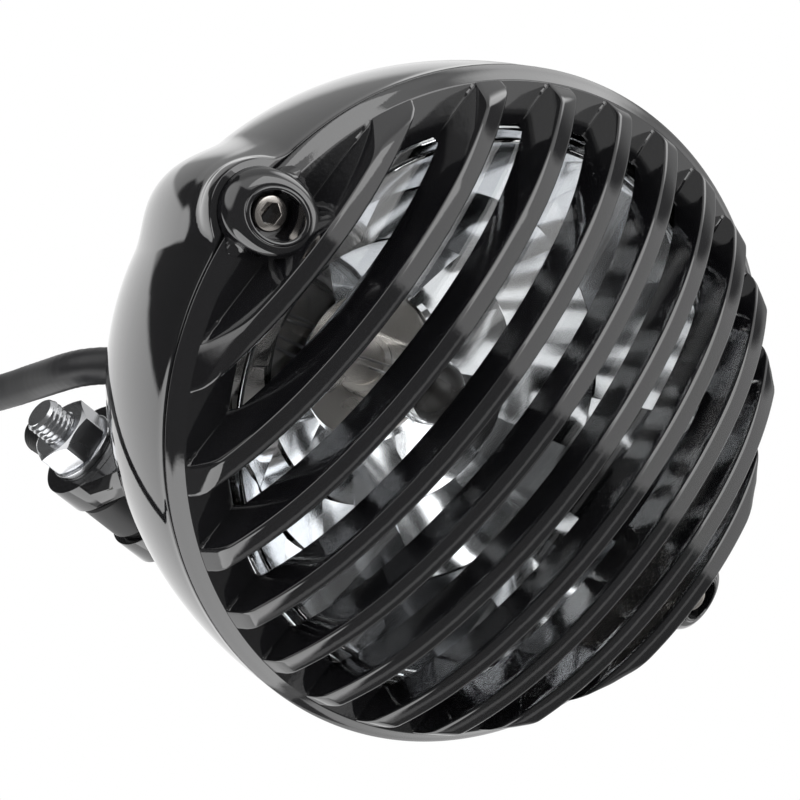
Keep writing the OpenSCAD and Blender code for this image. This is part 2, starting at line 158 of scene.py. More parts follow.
class Finishes(PropertyGroup):
    enamel: FloatVectorProperty(name="Enamel", subtype="COLOR", size=3, default=(0.007, 0.007, 0.008),
                                description="Colour of the gloss black enamel")
    zinc: FloatVectorProperty(name="Zinc", subtype="COLOR", size=3, default=(0.76, 0.77, 0.79),
                              description="Colour of bright zinc plate")
    stainless: FloatVectorProperty(name="Stainless", subtype="COLOR", size=3,
                                   default=(0.66, 0.62, 0.58),
                                   description="Colour of the stainless steel screws")
    sleeve: FloatVectorProperty(name="Sleeve", subtype="COLOR", size=3, default=(0.022, 0.022, 0.024),
                                description="Colour of the cable sleeve")


class StudioSettings(PropertyGroup):
    fill: FloatProperty(name="Fill", default=1.0, description="Strength of the world's light")
    key: FloatProperty(name="Key", default=1.0, description="Strength of the softbox")


SETTINGS = {
    "grille_sizes": GrilleSizes,
    "shell_sizes": ShellSizes,
    "optic_sizes": OpticSizes,
    "fastener_sizes": FastenerSizes,
    "finishes": Finishes,
    "studio_settings": StudioSettings,
}


def setting(group, name):
    """A user setting; lengths come back in metres."""
    return getattr(getattr(bpy.context.scene, group), name)


def mm(group, name):
    """A user length in millimetres."""
    return setting(group, name) * 1000


# Meshes from computed surfaces


def grid_quads(rows, cols, wrap_rows, wrap_cols, first):
    """Quads between neighbouring points of a grid that was flattened row by row."""
    i = np.arange(rows if wrap_rows else rows - 1)[:, None]
    j = np.arange(cols if wrap_cols else cols - 1)[None, :]
    i2, j2 = (i + 1) % rows, (j + 1) % cols
    return first + np.stack(
        np.broadcast_arrays(i * cols + j, i * cols + j2, i2 * cols + j2, i2 * cols + j), -1
    ).reshape(-1, 4)


def new_piece(name, surfaces, finish, body="lamp", sharp=35.0, replaces=()):
    """One piece from closed surfaces, each (grid, wrap_rows, wrap_cols) in lamp millimetres."""
    points, quads, first = [], [], 0
    for grid, wrap_rows, wrap_cols in surfaces:
        rows, cols = grid.shape[:2]
        points.append(grid.reshape(-1, 3))
        quads.append(grid_quads(rows, cols, wrap_rows, wrap_cols, first))
        first += rows * cols
    points = np.concatenate(points) * 0.001 + LAMP_ORIGIN
    mesh = bpy.data.meshes.new(name)
    mesh.from_pydata(points.tolist(), [], np.concatenate(quads).tolist())
    clean_mesh(mesh, sharp)
    return add_piece(name, mesh, finish, body, replaces)


def clean_mesh(mesh, sharp):
    """Closes seams and poles, points faces outwards and shades smooth between sharp edges."""
    bm = bmesh.new()
    bm.from_mesh(mesh)
    bmesh.ops.remove_doubles(bm, verts=bm.verts, dist=2e-6)
    bmesh.ops.dissolve_degenerate(bm, dist=1e-7, edges=bm.edges)
    bmesh.ops.recalc_face_normals(bm, faces=bm.faces)
    bm.to_mesh(mesh)
    bm.free()
    mesh.shade_smooth()
    mesh.set_sharp_from_angle(angle=np.radians(sharp))


def add_piece(name, mesh, finish, body, replaces):
    """Puts a mesh in the scene with its finish and body, and hides the CAD nodes it stands for."""
    obj = bpy.data.objects.new(name, mesh)
    bpy.context.scene.collection.objects.link(obj)
    mesh.materials.append(bpy.data.materials[finish])
    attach(obj, body)
    if replaces:
        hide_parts(*replaces)
    return obj


def eased_copy(name, node, width, finish, body="lamp"):
    """A copy of a CAD node's mesh, its doubles merged, flats dissolved and hard edges bevelled."""
    mesh = NODES[node].data.copy()
    mesh.name = name
    mesh.materials.clear()
    bm = bmesh.new()
    bm.from_mesh(mesh)
    bmesh.ops.remove_doubles(bm, verts=bm.verts, dist=1e-6)
    bmesh.ops.dissolve_limit(bm, angle_limit=np.radians(0.6), verts=bm.verts, edges=bm.edges,
                             use_dissolve_boundaries=False)
    hard = [e for e in bm.edges if len(e.link_faces) == 2 and e.calc_face_angle(0) > 0.6]
    bmesh.ops.bevel(bm, geom=hard, offset=width, offset_type="OFFSET", segments=3, profile=0.5,
                    affect="EDGES", clamp_overlap=True)
    bmesh.ops.recalc_face_normals(bm, faces=bm.faces)
    bm.to_mesh(mesh)
    bm.free()
    mesh.shade_smooth()
    mesh.set_sharp_from_angle(angle=np.radians(40))
    return add_piece(name, mesh, finish, body, (node,))


def turned(profile, steps):
    """Surface of revolution: each (radius, depth) of the profile carried round the lamp axis."""
    p = np.asarray(profile, float)
    a = np.linspace(0, 2 * np.pi, steps, endpoint=False)[:, None]
    r, d = p[None, :, 0], p[None, :, 1]
    return np.stack([r * np.cos(a), d + 0 * a, r * np.sin(a)], -1)


def framed(u, v, along, base, axes):
    """Places local (u, v, along) arrays on a base point with three unit axes."""
    ax = np.asarray(axes, float)
    return np.asarray(base) + u[..., None] * ax[0] + v[..., None] * ax[1] + along[..., None] * ax[2]


PIVOT_AXES = ((0, 0, 1), (0, 1, 0), (-1, 0, 0))
STUD_AXES = ((1, 0, 0), (0, 0, 1), (0, 1, 0))


def lathe(profile, steps, base, axes, radius=None):
    """Surface of revolution on any axis; radius(angle, r, h) may reshape each ring."""
    p = np.asarray(profile, float)
    a = np.linspace(0, 2 * np.pi, steps, endpoint=False)[:, None]
    r, h = np.broadcast_arrays(p[None, :, 0] + 0 * a, p[None, :, 1] + 0 * a)
    if radius is not None:
        r, h = radius(a, r, h)
    return framed(r * np.cos(a), r * np.sin(a), h, base, axes)


def hexagon(angle, across_flats):
    """Radius of a regular hexagon at an angle, one corner at 30 degrees: half the flats over
    the cosine of the angle from the nearest flat's middle."""
    return across_flats / 2 / np.cos((angle + np.pi / 6) % (np.pi / 3) - np.pi / 6)


def threaded(radius, pitch, start, end, steps, base, axes, lead_in=1.0):
    """Helical thread: the crest fades to the root with the fraction of a turn, and both ends
    run into a 45 degree chamfer."""
    depth = 0.56 * pitch
    h = np.linspace(start, end, int((end - start) / pitch * 10) + 2)[None, :]
    a = np.linspace(0, 2 * np.pi, steps, endpoint=False)[:, None]
    wave = np.abs(((h / pitch - a / (2 * np.pi)) % 1.0) * 2 - 1)
    r = radius - depth * np.clip(1.25 * wave - 0.12, 0, 1)
    tip = np.minimum(h - start, end - h)
    r = np.minimum(r, radius - lead_in + tip)
    cap = np.concatenate([0 * r[:, :1], r, 0 * r[:, :1]], 1)
    hh = np.concatenate([h[:, :1], h, h[:, -1:]], 1) + 0 * cap
    return framed(cap * np.cos(a), cap * np.sin(a), hh, base, axes)


def smooth_path(points, per_span):
    """Catmull-Rom line: between two points runs the cubic whose slope at each of them is half
    the step from the point before it to the point after it."""
    p = np.asarray(points, float)
    ends = np.concatenate([[2 * p[0] - p[1]], p, [2 * p[-1] - p[-2]]])
    t = np.linspace(0, 1, per_span, endpoint=False)[None, :, None]
    a, b, c, d = (ends[k:k + len(p) - 1][:, None] for k in range(4))
    q = 0.5 * (2 * b + (c - a) * t + (2 * a - 5 * b + 4 * c - d) * t**2
               + (3 * b - a - 3 * c + d) * t**3)
    return np.concatenate([q.reshape(-1, 3), p[-1:]])


def tube(path, radius, sides):
    """Round tube along a path; its rings keep one side towards X, and both ends are closed."""
    t = np.gradient(path, axis=0)
    t /= np.linalg.norm(t, axis=1, keepdims=True)
    u = np.cross(t, [1.0, 0.2, 0.0])
    u /= np.linalg.norm(u, axis=1, keepdims=True)
    w = np.cross(t, u)
    a = np.linspace(0, 2 * np.pi, sides, endpoint=False)[None, :, None]
    r = np.broadcast_to(np.asarray(radius, float).reshape(-1, 1, 1), (len(path), 1, 1))
    rings = path[:, None] + r * (np.cos(a) * u[:, None] + np.sin(a) * w[:, None])
    first = np.broadcast_to(path[:1, None], (1, sides, 3))
    last = np.broadcast_to(path[-1:, None], (1, sides, 3))
    return np.concatenate([first, rings, last])


# Finishes


def node_group(name, inputs, outputs):
    """An empty shader group with named sockets: (name, type, default)."""
    group = bpy.data.node_groups.new(name, "ShaderNodeTree")
    for label, kind, value in inputs:
        socket = group.interface.new_socket(label, in_out="INPUT", socket_type=kind)
        socket.default_value = value
    for label, kind in outputs:
        group.interface.new_socket(label, in_out="OUTPUT", socket_type=kind)
    return group, group.nodes.new("NodeGroupInput"), group.nodes.new("NodeGroupOutput")


def set_inputs(node, values):
    """Sets a node's input sockets by their names."""
    for label, value in values.items():
        node.inputs[label].default_value = value


def ripple_group():
    """Slow orange-peel waves and fine grain on Object coordinates, as a height and a mask."""
    g, start, end = node_group(
        "Surface ripple",
        [("Wave", "NodeSocketFloat", 120.0), ("Grain", "NodeSocketFloat", 1500.0),
         ("Mix", "NodeSocketFloat", 0.3)],
        [("Height", "NodeSocketFloat"), ("Mask", "NodeSocketFloat")],
    )
    co = g.nodes.new("ShaderNodeTexCoord")
    wave = g.nodes.new("ShaderNodeTexNoise")
    grain = g.nodes.new("ShaderNodeTexNoise")
    set_inputs(wave, {"Detail": 1.5})
    set_inputs(grain, {"Detail": 3.0})
    blend = g.nodes.new("ShaderNodeMix")
    patch = g.nodes.new("ShaderNodeTexNoise")
    set_inputs(patch, {"Scale": 28.0, "Detail": 4.0})
    spread = g.nodes.new("ShaderNodeMapRange")
    set_inputs(spread, {"From Min": 0.38, "From Max": 0.68})
    link = g.links.new
    for noise in (wave, grain, patch):
        link(co.outputs["Object"], noise.inputs["Vector"])
    link(start.outputs["Wave"], wave.inputs["Scale"])
    link(start.outputs["Grain"], grain.inputs["Scale"])
    link(start.outputs["Mix"], blend.inputs["Factor"])
    link(wave.outputs["Fac"], blend.inputs["A"])
    link(grain.outputs["Fac"], blend.inputs["B"])
    link(blend.outputs["Result"], end.inputs["Height"])
    link(patch.outputs["Fac"], spread.inputs["Value"])
    link(spread.outputs["Result"], end.inputs["Mask"])
    return g


def finish(name, base, rough, rough_worn, metallic=0.0, tint=0.15, wave=120.0, grain=1500.0,
           mix=0.3, bump=0.05, depth=0.0002, transmission=0.0, ior=1.5):
    """A Principled material whose colour, roughness and bump come from the ripple group."""
    mat = bpy.data.materials.new(name)
    mat.use_nodes = True
    t = mat.node_tree
    t.nodes.clear()
    out = t.nodes.new("ShaderNodeOutputMaterial")
    bsdf = t.nodes.new("ShaderNodeBsdfPrincipled")
    ripple = t.nodes.new("ShaderNodeGroup")
    ripple.node_tree = bpy.data.node_groups["Surface ripple"]
    set_inputs(ripple, {"Wave": wave, "Grain": grain, "Mix": mix})
    colour = t.nodes.new("ShaderNodeMix")
    colour.data_type = "RGBA"
    set_inputs(colour, {"A": (*base, 1), "B": (*[c * (1 - tint) for c in base], 1)})
    gloss = t.nodes.new("ShaderNodeMapRange")
    set_inputs(gloss, {"To Min": rough, "To Max": rough_worn})
    bumpy = t.nodes.new("ShaderNodeBump")
    set_inputs(bumpy, {"Strength": bump, "Distance": depth})
    link = t.links.new
    link(ripple.outputs["Mask"], colour.inputs["Factor"])
    link(colour.outputs["Result"], bsdf.inputs["Base Color"])
    link(ripple.outputs["Mask"], gloss.inputs["Value"])
    link(gloss.outputs["Result"], bsdf.inputs["Roughness"])
    link(ripple.outputs["Height"], bumpy.inputs["Height"])
    link(bumpy.outputs["Normal"], bsdf.inputs["Normal"])
    link(bsdf.outputs["BSDF"], out.inputs["Surface"])
    set_inputs(bsdf, {"Metallic": metallic, "IOR": ior, "Transmission Weight": transmission})
    return mat


def all_finishes():
    """Every material. The enamels have a high index of refraction, so that they reflect the
    studio clearly at a light in which bare metal doesn't turn white."""
    ripple_group()
    enamel = tuple(setting("finishes", "enamel"))
    zinc = tuple(setting("finishes", "zinc"))
    steel = tuple(setting("finishes", "stainless"))
    finish("Gloss enamel", enamel, 0.03, 0.06, wave=90, grain=900, mix=0.12, bump=0.05,
           depth=0.0004, ior=1.9)
    finish("Cast enamel", enamel, 0.04, 0.08, wave=160, grain=1100, mix=0.2, bump=0.07,
           depth=0.0004, ior=1.9)
    finish("Satin black", (0.016, 0.016, 0.017), 0.35, 0.5, wave=300, grain=2500, bump=0.1)
    finish("Zinc plate", zinc, 0.2, 0.34, metallic=1, tint=0.1, wave=500, grain=3000, mix=0.5,
           bump=0.12, depth=0.0001)
    finish("Stainless steel", steel, 0.2, 0.32, metallic=1, tint=0.12, wave=700, grain=3500,
           bump=0.1, depth=0.0001)
    finish("Spring steel", (0.5, 0.51, 0.53), 0.25, 0.4, metallic=1, wave=400, bump=0.08)
    finish("Reflector chrome", (0.79, 0.8, 0.82), 0.04, 0.09, metallic=1, tint=0.03, wave=40,
           grain=500, mix=0.03, bump=0.02, depth=0.0004)
    finish("Clear glass", (0.98, 0.99, 0.99), 0.0, 0.015, tint=0.01, wave=40, grain=200, mix=0.1,
           bump=0.01, depth=0.0002, transmission=1, ior=1.48)
    finish("Bulb glass", (0.98, 0.98, 0.98), 0.0, 0.02, tint=0.01, bump=0.01, transmission=1,
           ior=1.46)
    finish("Bulb tip", (0.02, 0.016, 0.014), 0.2, 0.35, bump=0.05)
    finish("Black rubber", (0.014, 0.014, 0.015), 0.5, 0.65, wave=200, grain=2500, bump=0.12)
    finish("PVC sleeve", tuple(setting("finishes", "sleeve")), 0.38, 0.5, wave=140, grain=2200,
           mix=0.25, bump=0.12, depth=0.0004)
    finish("Heat-proof plastic", (0.03, 0.026, 0.024), 0.4, 0.55, wave=250, bump=0.08)
    finish("White nylon", (0.8, 0.79, 0.74), 0.4, 0.5, wave=200, bump=0.06, tint=0.06)
    finish("Brass", (0.78, 0.6, 0.3), 0.2, 0.35, metallic=1, wave=500, bump=0.06)


# Shapes of the lamp


class Dome:
    """The grille's two-arc dome: a flatter cap in the middle and a tangent shoulder outside it."""

    def __init__(self):
        # The cap's radius over that of one arc of the same height, the share of the rim's
        # radius where the shoulder takes over, and how far the ledge runs past the fins
        cap_share, split_share, ledge_width = 1.1096, 0.6295, 1.8
        self.rim = mm("grille_sizes", "dome_radius")
        self.wall = mm("grille_sizes", "dome_wall")
        height = mm("grille_sizes", "dome_height")
        self.root = ROOT
        self.ledge = self.rim + ledge_width
        self.front = self.root - height
        self.cap_r = cap_share * (self.rim**2 + height**2) / (2 * height)
        self.cap_c = self.front + self.cap_r
        self.split = split_share * self.rim
        self.lean = np.arcsin(self.split / self.cap_r)
        split_d = self.cap_c - self.cap_r * np.cos(self.lean)
        chord = np.array([self.rim - self.split, self.root - split_d])
        turn = np.arctan2(chord[1], chord[0]) - self.lean
        self.arc_r = np.linalg.norm(chord) / (2 * np.sin(turn))
        self.arc_c = (self.split - self.arc_r * np.sin(self.lean),
                      split_d + self.arc_r * np.cos(self.lean))

    def depth(self, r, inset=0.0):
        """Depth of the dome, or of its offset, at radius r."""
        cap = self.cap_c - np.sqrt(np.maximum((self.cap_r - inset)**2 - r**2, 0.0))
        arc = self.arc_c[1] - np.sqrt(
            np.maximum((self.arc_r - inset)**2 - (r - self.arc_c[0])**2, 0.0))
        return np.where(r < self.split - inset * np.sin(self.lean), cap, arc)


def smooth_max(a, b, blend):
    """The greater of two arrays, rounded where they are within the blend of each other."""
    near = np.clip(1 - np.abs(a - b) / blend, 0, 1)
    return np.maximum(a, b) + near**2 * blend / 4


def fin_surface(dome, centre):
    """One fin. Across: a flat front with rounded edges, straight walls and feet that flare onto
    the ledge. Along: the front follows the dome as it is at the fin's inner side, down to the
    steep cone that ends every fin on the round rim; the two meet as a smooth maximum."""
    half = mm("grille_sizes", "fin_thickness") / 2
    edge = mm("grille_sizes", "edge")
    foot = mm("grille_sizes", "fillet")
    q = np.linspace(0, np.pi / 2, 6)
    corner = np.stack([half - edge + edge * np.sin(q), edge * (1 - np.cos(q)), 0 * q], 1)
    wall = np.array([[half, edge, s] for s in (0.12, 0.3, 0.5, 0.68, 0.8, 0.88, 0.94, 0.98)])
    under = np.array([[half, edge, 1.0], [half * 0.5, edge, 1.0]])
    right = np.concatenate([corner, wall, under])
    left = right[::-1] * [-1, 1, 1]
    loop = np.concatenate([[[0, 0, 0]], right, [[0, edge, 1.0]], left])
    x_off, drop, share = loop[:, 0], loop[:, 1], loop[:, 2]

    mid = np.sin(np.linspace(0, np.pi / 2, 58))
    tail = np.array([0.12, 0.3, 0.5, 0.8, 1.1, 1.4, 1.75])
    g = np.concatenate([mid, np.ones(len(tail))])
    ring = dome.rim + np.concatenate([0 * mid, tail])
    g = np.concatenate([-g[::-1], g[1:]])[:, None]
    ring = np.concatenate([ring[::-1], ring[1:]])[:, None]

    x = centre + x_off[None, :] + 0 * g
    z = np.sqrt(np.maximum(ring**2 - x**2, 0.0)) * g
    r = np.sqrt(x**2 + z**2)
    inner = np.hypot(max(abs(centre) - half, 0.0), z)
    front = dome.depth(np.minimum(inner, dome.rim))
    cone = dome.root + (r - dome.rim) * FIN_END_SLOPE
    end_blend, hang_r, buried = 2.4, 67.5, LEDGE + 0.5
    top = smooth_max(front, cone, end_blend)
    back = np.where(r < hang_r, dome.depth(np.minimum(r, hang_r), dome.wall), buried)
    y = (1 - share) * (top + drop) + share * back
    y = np.minimum(y, np.maximum(back, top))
    # The feet flare by a quarter circle over the ledge, and not over the window or the rim
    low = np.clip(foot - (LEDGE - y), 0, foot)
    fade = np.clip((r - 67.6) / 0.3, 0, 1) * np.clip((dome.ledge - 0.3 - r) / 0.6, 0, 1)
    flare = (foot - np.sqrt(foot**2 - low**2)) * fade
    x = x + np.sign(x_off)[None, :] * flare * (np.abs(x_off) > half * 0.9)
    return np.stack([x, y, z], -1), False, True


def rim_surface():
    """The rim: ledge, rounded edge, skirt to the seam and spigot, turned about the lamp axis."""
    q = np.linspace(0, np.radians(52), 6)
    edge = np.stack([77.55 + 0.5 * np.sin(q), 1.68 - 0.5 * np.cos(q)], 1)
    lip = np.linspace(np.radians(52), np.radians(175), 8)
    lip = np.stack([80.45 + 0.42 * np.sin(lip), 4.98 - 0.42 * np.cos(lip)], 1)
    profile = np.concatenate([
        [[WINDOW_R, 1.0], [67.95, 0.72], [68.3, 0.62], [72, 0.82], [76, 1.08]],
        edge, [[78.9, 2.72], [79.9, 3.82]], lip,
        [[78, 5.4], [78, 18], [74, 18], [74, 3.4], [WINDOW_R, 3.4]],
    ])
    return turned(profile, 288), True, True


def boss_surface(side):
    """A screw boss: wall, rounded lip on a face that slopes back with the dome, and an open
    counterbore. Its foot flares where it stands on the ledge or the skirt."""
    a = np.linspace(0, 2 * np.pi, 120, endpoint=False)[:, None]
    radius, bore, top_d, bottom_d, slope = 9.5, 5.35, -5.2, 5.4, np.tan(np.radians(30))
    q = np.linspace(0, np.pi / 2, 12)
    dome = np.stack([radius - 3.0 * (1 - np.cos(q)), 0.5 + 4.1 * (1 - np.sin(q))], 1)
    bead = np.radians([-20, 25, 60, 90, 120, 155, 200])
    lip = np.stack([bore + 0.5 + 0.5 * np.cos(bead), 0.4 - 0.5 * np.sin(bead)], 1)
    top = np.concatenate([dome, lip])
    rows = 14
    rho = np.concatenate([[0, 5], np.full(rows, radius), top[:, 0], [bore, 4.0, 0]])[None, :] + 0 * a
    face = top_d + slope * rho[:, 2 + rows:-3] * np.cos(a) + top[None, :, 1]
    rise = np.linspace(0, 1, rows + 1)[None, :-1]
    y = np.concatenate([
        np.full((120, 2), bottom_d),
        bottom_d + (face[:, :1] - bottom_d) * rise,
        face,
        np.full((120, 3), SCREW_SEAT),
    ], 1)
    r = np.sqrt((SCREW_X + rho * np.cos(a))**2 + (rho * np.sin(a))**2)
    skirt_r, skirt_slope = 78, 1.31
    base = np.where(r < skirt_r, LEDGE, LEDGE + (r - skirt_r) * skirt_slope)
    foot = 2.6
    low = np.clip(foot - (base - y), 0, foot)
    fade = np.clip((81.0 - r) / 2.0, 0, 1)
    wall_only = np.zeros(rho.shape[1])
    wall_only[2:rows + 10] = 1
    rho = rho + (foot - np.sqrt(foot**2 - low**2)) * fade * wall_only
    x = side * (SCREW_X + rho * np.cos(a))
    return np.stack([x, y, rho * np.sin(a)], -1), True, False


def shell_radius(d, inset=0.0):
    """Radius of the shell at depth d: long side arc, then the round tail that meets it tangent.
    Comes back with the radius and the centre depth of that tail."""
    mouth = mm("shell_sizes", "mouth_radius")
    lean = np.arcsin((SIDE_END_D - SIDE_ARC_D) / SIDE_ARC_R)
    tail_r = (mouth - SIDE_ARC_R * (1 - np.cos(lean))) / np.cos(lean)
    tail_c = SIDE_END_D - tail_r * np.sin(lean)
    side = mouth - SIDE_ARC_R + np.sqrt(
        np.maximum((SIDE_ARC_R - inset)**2 - (d - SIDE_ARC_D)**2, 0.0))
    tail = np.sqrt(np.maximum((tail_r - inset)**2 - (d - tail_c)**2, 0.0))
    return np.where(d < SIDE_END_D - inset * np.sin(lean), side, tail), tail_r, tail_c


def shell_surface():
    """The shell, out over the tail's pole and back inside. Behind each side screw a fairing is
    added: a crest along the depth times a bell across it. At the mouth the radius is the smooth
    greater of that and a round collar that shrinks with depth."""
    _, tail_r, tail_c = shell_radius(0.0)
    wall = mm("shell_sizes", "wall")
    near = np.linspace(-1, 1, 121)
    near = np.radians(20) * (0.75 * near + 0.25 * near**3)
    far = np.linspace(np.radians(20), np.radians(160), 60)[1:-1]
    phi = np.concatenate([near, far, near + np.pi, far + np.pi])[:, None]
    side_d = np.concatenate([[6.02, 6.14, 6.4, 7.0, 8.0], np.linspace(9.2, SIDE_END_D, 66)])
    tail_q = np.linspace(np.arccos((SIDE_END_D - tail_c) / tail_r), 0, 28)[1:]
    outer_d = np.concatenate([side_d, tail_c + tail_r * np.cos(tail_q)])
    outer_r = shell_radius(outer_d)[0]
    outer_r[-1] = 0
    outer_r[:5] += [-0.25, 0.12, 0.2, 0.16, 0.05]
    d = outer_d[None, :] + 0 * phi
    # The fairing: its height and half width along the depth, over the distance from its middle
    s = np.where(np.cos(phi) > 0, np.sin(phi), -np.sin(phi)) * outer_r[None, :]
    crest = np.interp(d, [6, 14, 24, 50, 66, 74, 80, 84], [6.5, 5.6, 5.0, 4.6, 4.2, 2.8, 0.6, 0])
    width = np.interp(d, [6, 20, 60, 84], [15, 17, 17, 15])
    r = outer_r[None, :] + crest * np.clip(1 - (s / width)**2, 0, 1)**2
    # The collar round the screw boss: a circle about the screw, with tangent flanks
    rim = 11.1 - 0.5 * np.exp(-(d - 6) / 0.4) - 0.045 * np.clip(d - 9, 0, 20)**2
    c, rim = SCREW_X - (d - 5) * 0.16, np.maximum(rim, 0.5)
    across = c * np.abs(np.sin(phi))
    bump = np.where(across < rim, np.sqrt(np.maximum(rim**2 - across**2, 0)),
                    -2.2 * (across - rim))
    collar = c * np.abs(np.cos(phi)) + bump - 60 * np.clip((d - 22) / 8, 0, 1)
    blend = mm("shell_sizes", "hood_blend")
    r = smooth_max(r, collar, blend) * (outer_r > 1)
    inner_q = np.linspace(0, np.arccos((84.9 - tail_c) / (tail_r - wall)), 14)
    inner_d = np.concatenate([tail_c + (tail_r - wall) * np.cos(inner_q), np.linspace(80, 6.4, 16)])
    inner_r = shell_radius(inner_d, wall)[0]
    inner_r[0] = 0
    r = np.concatenate([r, inner_r[None, :] + 0 * phi], 1)
    d = np.concatenate([d, inner_d[None, :] + 0 * phi], 1)
    return np.stack([r * np.cos(phi), d, r * np.sin(phi)], -1), True, True


def lens_surface():
    """The lens: flange, stepped edge ring and dome, with an even wall behind. The dome is a
    sphere, whose radius follows from its bulge over the window."""
    bulge, face_r = 17.0, WINDOW_R
    sphere = (face_r**2 + bulge**2) / (2 * bulge)
    centre = 4.6 - bulge + sphere
    r = np.linspace(63.0, 0, 34)
    front = np.stack([r, centre - np.sqrt(sphere**2 - r**2)], 1)
    back_r = np.linspace(0, 62.6, 30)
    back = np.stack([back_r, centre - np.sqrt((sphere - 2.4)**2 - back_r**2)], 1)
    profile = np.concatenate([
        [[FLANGE_R, 7.6], [FLANGE_R, 4.6], [66.9, 4.6], [66.8, 4.3], [66.5, 3.7], [66.2, 3.6],
         [64.6, 3.5], [64.3, 3.4], [64.1, 2.9], [63.9, 2.7], [63.6, 2.55]],
        front, back, [[62.9, 7.0], [63.1, 7.6]],
    ])
    return turned(profile, 240), True, True


def bowl_depth(r):
    """Depth of the bowl at radius r, a parabola from its front to its neck."""
    return BOWL_FRONT_D + BOWL_DEEP * (BOWL_R**2 - r**2) / (BOWL_R**2 - NECK_R**2)


def reflector_surfaces():
    """The bowl in crowned facets: a grid of rings and sectors, each facet raised as a pillow
    and tipped by its own fixed angle, above a plain flange and back."""
    rings, sectors = setting("optic_sizes", "rings"), setting("optic_sizes", "sectors")
    crown = mm("optic_sizes", "pillow")
    outer_r, inner_r, proud, tilt, steps = 65.4, 20.0, 1.15, 0.77, 9
    edges = outer_r - (outer_r - inner_r) * np.linspace(0, 1, rings + 1)**0.9
    tip = np.random.default_rng(7).uniform(-1, 1, (rings, sectors, 2)) * tilt
    t = np.linspace(0, 1, steps)
    surfaces = []
    for k in range(rings):
        off = (k % 2) * 0.5
        a = (np.arange(sectors)[:, None] + off + t[None, :]) * 2 * np.pi / sectors
        r = edges[k] + (edges[k + 1] - edges[k]) * t
        a, r = np.broadcast_arrays(a[:, :, None], r[None, None, :])
        u, v = 2 * t[None, :, None] - 1, 2 * t[None, None, :] - 1
        lift = crown * (1 - u**2) + 0.6 * crown * (1 - v**2) + proud
        lift = lift + tip[k, :, 0, None, None] * u + tip[k, :, 1, None, None] * v
        d = bowl_depth(r) - lift
        grid = np.stack([r * np.cos(a), d, r * np.sin(a)], -1)
        surfaces.append((grid.reshape(sectors * steps, steps, 3), True, False))
    r = np.linspace(BOWL_R, NECK_R, 30)
    inner = np.stack([r, bowl_depth(r)], 1)
    outer = np.stack([r[::-1] + 1.0, bowl_depth(r[::-1]) + 1.2], 1)
    profile = np.concatenate([
        [[FLANGE_R, 9.2], [FLANGE_R, BOWL_FRONT_D]], inner,
        [[NECK_R, 64.6], [21.6, 64.6], [21.6, 60]], outer[1:],
    ])
    surfaces.append((turned(profile, 200), True, True))
    return surfaces


def socket_screw(x, z, seat, tip_d):
    """A socket cap screw: knurled head with eased edges, hexagon socket and plain shank."""
    a = np.linspace(0, 2 * np.pi, 144, endpoint=False)[:, None]
    rho = np.array([0, 2.3, 2.5, 2.5, 4.1, 4.25, 4.25, 4.2, 3.85, 3.6, 2.05, 2.0, 2.0, 0])
    d = np.array([tip_d, tip_d, tip_d - 0.4, seat, seat, seat - 0.2, seat - 3.2, seat - 3.5,
                  seat - 3.94, seat - 4.0, seat - 4.0, seat - 3.9, seat - 1.2, seat - 0.9])
    ring = rho[None, :] + 0 * a
    knurl = 0.09 * np.abs((a * 36 / (2 * np.pi)) % 1.0 - 0.5)
    ring[:, 5:7] -= knurl
    socket = hexagon(a, 4.6)
    ring[:, 10:13] = np.concatenate([socket + 0.12, socket, socket], 1)
    return np.stack([x + ring * np.cos(a), d[None, :] + 0 * a, z + ring * np.sin(a)], -1), True, False


def nut_shape(flats, bore, thick, turn):
    """Ring reshaper for a hexagon nut: flats cut by a 30 degree cone at both faces."""
    face = flats / 2 - 0.25

    def reshape(a, r, h):
        hexa = hexagon(a + turn, flats)
        full = r > face + 0.1
        cut = np.maximum(hexa - face, 0) * np.tan(np.radians(30))
        r2 = np.where(full, hexa, r)
        h2 = np.where(full, np.where(h > thick / 2, h - cut, h + cut), h)
        return r2, h2

    profile = [[bore, 0.5], [bore + 0.5, 0], [face - 0.05, 0], [face + 1, 0], [face + 1, thick],
               [face - 0.05, thick], [bore + 0.5, thick], [bore, thick - 0.5]]
    return profile, reshape


# The studio: the room's shade, the share of light that diffuse rays don't get, and round
# panels: azimuth from the lamp's front towards +X, elevation, reach, softness and shade
ROOM = 0.14
DIFFUSE_DIM = 0.1
PANELS = (
    (90, 0, 57.0, 0.4, 0.52),
    (90, 0, 53.4, 0.4, 0.15),
    (90, -8, 36, 4, 0.48),
    (0, -90, 33, 2, 2.2),
    (0, 90, 77, 1.2, 0.95),
    (85, 68, 16, 3, 0.15),
    (180, 30, 62, 9, 0.5),
    (180, 78, 20, 7, 2.6),
    (-140, -8, 33, 1.5, 0.06),
    (-112, -5, 22, 5, 1.3),
    (150, -24, 42, 1, 1.1),
    (165, 22, 8, 4, 1.2),
)


